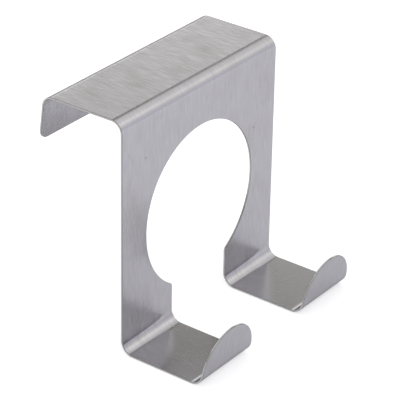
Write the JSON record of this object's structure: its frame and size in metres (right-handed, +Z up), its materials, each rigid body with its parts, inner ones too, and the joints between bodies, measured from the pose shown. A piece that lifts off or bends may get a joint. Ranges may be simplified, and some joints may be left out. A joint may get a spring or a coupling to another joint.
{
  "type": "over door hook",
  "caption": "Over-door hook folded from one steel sheet: slotted top with splayed lip, front plate with round hole, and legs ending in trays with round upturned tabs.",
  "frame": {"origin": "middle of the top plate's underside, where the hook rests on the door's top edge", "axes": "+Z up; +Y towards the door and the lip, so the front with its trays faces -Y; +X across the door, to the right seen from the front"},
  "size_m": [0.1, 0.0835, 0.1022],
  "materials": {
    "brushed_sheet": "fine brushed stainless, grain along the folded strip"
  },
  "bodies": {
    "root": {"door_hook": "brushed_sheet"}
  },
  "joints": []
}
